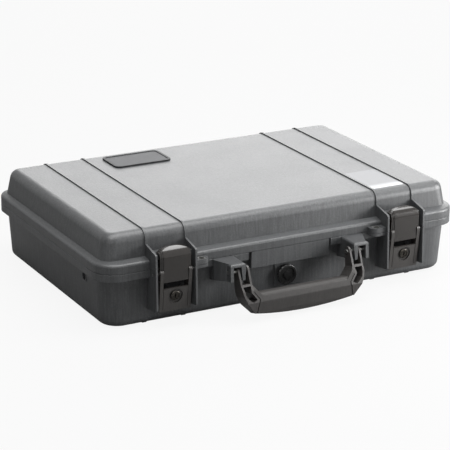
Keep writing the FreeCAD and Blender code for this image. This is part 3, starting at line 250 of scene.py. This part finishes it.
def block(low, high, corner_r, segments=6):
    """Upright block between two corners, with round vertical edges."""
    new = bmesh.new()
    bmesh.ops.create_cube(new, size=1.0)
    bmesh.ops.scale(new, vec=Vector(high) - Vector(low), verts=new.verts)
    bmesh.ops.translate(new, vec=(Vector(low) + Vector(high)) / 2, verts=new.verts)
    upright = [edge for edge in new.edges if abs((edge.verts[0].co - edge.verts[1].co).z) > MM]
    bmesh.ops.bevel(new, geom=upright, offset=corner_r, offset_type="OFFSET", segments=segments, profile=0.5,
                    affect="EDGES", material=-1)
    return new


foam = cells("polyurethane_open_cell", "#111113", "#2a2a2d", 1.1 * MM)
foam_low, foam_high = [Vector(corner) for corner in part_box("base_foam")]
foam_round = 20 * MM
foam_edge = 2.5 * MM
foam_gap = Vector((3.4, 2.4, 0)) * MM
pocket_rim = Vector((43.5, 21.0, 0)) * MM
pocket_depth = 38 * MM
pocket_round = 10 * MM
cut_above = 10 * MM
foam_top = foam_high.z
tray = block(foam_low + foam_gap, foam_high - foam_gap, foam_round)
tray_foam = piece("base_foam_tray", tray, foam, "foam", "base")
hollow = block(Vector((foam_low.x, foam_low.y, foam_top - pocket_depth)) + pocket_rim,
               Vector((foam_high.x, foam_high.y, foam_top + cut_above)) - pocket_rim, pocket_round)
hollow_mesh = bpy.data.meshes.new("pocket_cutter")
hollow.to_mesh(hollow_mesh)
hollow.free()
cutter = bpy.data.objects.new("pocket_cutter", hollow_mesh)
bpy.context.scene.collection.objects.link(cutter)
cut = tray_foam.modifiers.new("pocket", "BOOLEAN")
cut.object = cutter
cut.operation = "DIFFERENCE"
cut.solver = "EXACT"
bpy.context.view_layer.update()
carved = bpy.data.meshes.new_from_object(tray_foam.evaluated_get(bpy.context.evaluated_depsgraph_get()))
tray_foam.modifiers.clear()
tray_foam.data = carved
bpy.data.objects.remove(cutter)
soften = tray_foam.modifiers.new("soft_edges", "BEVEL")
soften.width = foam_edge
soften.segments = 3
soften.limit_method = "ANGLE"
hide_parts("base_foam")

pad_low, pad_high = [Vector(corner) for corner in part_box("lid_foam")]
peak_gap = 29 * MM
peak_height = 11 * MM
pad_trim = Vector((6, 6, 0)) * MM
pad_size = pad_high - pad_low - pad_trim
peak_steps = 8
pad_round = 22 * MM
columns = round(pad_size.x / peak_gap)
rows = round(pad_size.y / peak_gap)
waves = bmesh.new()
bmesh.ops.create_grid(waves, x_segments=columns * peak_steps, y_segments=rows * peak_steps, size=0.5)
bmesh.ops.scale(waves, vec=(pad_size.x, pad_size.y, 1), verts=waves.verts)
for vert in waves.verts:
    across = math.cos(2 * math.pi * (vert.co.x / pad_size.x + 0.5) * columns)
    along = math.cos(2 * math.pi * (vert.co.y / pad_size.y + 0.5) * rows)
    vert.co.z = peak_height * (0.5 + 0.25 * (across + along))
for vert in waves.verts:
    square = Vector((pad_size.x / 2 - pad_round, pad_size.y / 2 - pad_round))
    beyond = Vector((abs(vert.co.x), abs(vert.co.y))) - square
    if min(beyond) > 0:
        square += beyond * max(beyond) / beyond.length
        vert.co.x = math.copysign(square.x, vert.co.x)
        vert.co.y = math.copysign(square.y, vert.co.y)
rim = [edge for edge in waves.edges if edge.is_boundary]
walls = bmesh.ops.extrude_edge_only(waves, edges=rim)["geom"]
raised = [item for item in walls if isinstance(item, bmesh.types.BMVert)]
for vert in raised:
    vert.co.z = pad_size.z
bmesh.ops.holes_fill(waves, edges=[edge for edge in waves.edges if edge.is_boundary], sides=0)
pad_middle = Vector(((pad_low.x + pad_high.x) / 2, (pad_low.y + pad_high.y) / 2, pad_low.z))
bmesh.ops.translate(waves, vec=pad_middle, verts=waves.verts)
bmesh.ops.recalc_face_normals(waves, faces=waves.faces)
lid_pad = piece("lid_foam_convoluted", waves, foam, "foam", "lid")
wall_lean = 0.2
for face in lid_pad.data.polygons:
    face.use_smooth = abs(face.normal.z) > wall_lean
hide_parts("lid_foam")


# Floor and backdrop
# One plane of mid grey paint and the world. The camera sees them as white or nearly so, with the shadow of
# the case on the plane. Metal and gloss show the world as white and the plane as grey, and the world
# lights the case only dimly.
floor_half = 4.0
floor_gap = 0.2 * MM
sheet = bmesh.new()
bmesh.ops.create_grid(sheet, x_segments=1, y_segments=1, size=floor_half)
bmesh.ops.translate(sheet, vec=(0, 0, -floor_gap), verts=sheet.verts)
floor_mesh = bpy.data.meshes.new("floor")
sheet.to_mesh(floor_mesh)
sheet.free()
floor_paint, tree, shader = material("floor_paint", "#7a7a7a", 0.8)
glow = add(tree, "ShaderNodeEmission", (), Strength=1.0)
floor_white = 0.9
seen = add(tree, "ShaderNodeMath", {"operation": "MULTIPLY"}, _1=floor_white,
           _0=add(tree, "ShaderNodeLightPath").outputs["Is Camera Ray"])
blend = add(tree, "ShaderNodeMixShader", (), _0=seen.outputs["Value"], _1=shader.outputs["BSDF"],
            _2=glow.outputs["Emission"])
tree.links.new(blend.outputs["Shader"], tree.nodes["Material Output"].inputs["Surface"])
floor_mesh.materials.append(floor_paint)
floor = bpy.data.objects.new("floor", floor_mesh)
bpy.context.scene.collection.objects.link(floor)

world = bpy.data.worlds.new("studio")
bpy.context.scene.world = world
world.use_nodes = True
tree = world.node_tree
back = tree.nodes["Background"]
rays = add(tree, "ShaderNodeLightPath")
room_light = 0.25
either = add(tree, "ShaderNodeMath", {"operation": "MAXIMUM"}, _0=rays.outputs["Is Glossy Ray"],
             _1=rays.outputs["Is Transmission Ray"])
either = add(tree, "ShaderNodeMath", {"operation": "MAXIMUM"}, _0=rays.outputs["Is Camera Ray"],
             _1=either.outputs["Value"])
strength = add(tree, "ShaderNodeMapRange", (), Value=either.outputs["Value"], To_Min=room_light, To_Max=1.0)
tree.links.new(strength.outputs["Result"], back.inputs["Strength"])
back.inputs["Color"].default_value = linear("#ffffff")


# Studio lights
# A long soft box behind gives the lid its sheen, and a wide one overhead lights the lid, its ledge and the
# bosses, about twice as bright as a plain level. A smaller one on the right lights the front and the right
# end, and a small one far out in front on the left adds a little to the front.
def soft_box(name, place, aim, size, watts):
    """Area light at one place, aimed at another, in metres."""
    lamp = bpy.data.lights.new(name, "AREA")
    lamp.shape = "RECTANGLE"
    lamp.size, lamp.size_y = size
    lamp.energy = watts
    new = bpy.data.objects.new(name, lamp)
    new.location = place
    new.visible_camera = False
    new.rotation_mode = "QUATERNION"
    new.rotation_quaternion = (Vector(aim) - Vector(place)).to_track_quat("-Z", "Y")
    bpy.context.scene.collection.objects.link(new)


soft_box("sheen_light", (1.35, 1.8, 1.05), (0.05, 0, 0.1), (2.2, 1.5), 44)
soft_box("overhead_light", (0.1, -0.35, 1.7), (0, -0.1, 0.1), (2.2, 1.2), 75)
soft_box("front_light", (0.75, -0.52, 0.26), (0.18, -0.1, 0.08), (0.4, 0.4), 16)
soft_box("edge_light", (-1.1, -1.7, 0.75), (0, -0.1, 0.06), (0.3, 0.3), 5)


# Camera
# Solved from the ribs, fins and feet of the case in the photograph, in millimetres and degrees.
handle_shift = 18.963417
camera_place = Vector((-1132.4, -2075.4 + handle_shift, 868.0)) * MM
camera_down, camera_turn, camera_roll = math.radians(19.11), math.radians(28.645), math.radians(0.626)
ahead = Vector((math.sin(camera_turn) * math.cos(camera_down), math.cos(camera_turn) * math.cos(camera_down),
                -math.sin(camera_down)))
level = Vector((math.cos(camera_turn), -math.sin(camera_turn), 0))
upward = level.cross(ahead)
right = math.cos(camera_roll) * level + math.sin(camera_roll) * upward
top = math.cos(camera_roll) * upward - math.sin(camera_roll) * level
lens = bpy.data.cameras.new("photo_camera")
lens.sensor_width = 36.0
lens.lens = 154.01
camera = bpy.data.objects.new("photo_camera", lens)
camera.matrix_world = Matrix((right, top, -ahead)).transposed().to_4x4()
camera.location = camera_place
bpy.context.scene.collection.objects.link(camera)
bpy.context.scene.camera = camera
bpy.context.scene.view_settings.view_transform = "Standard"
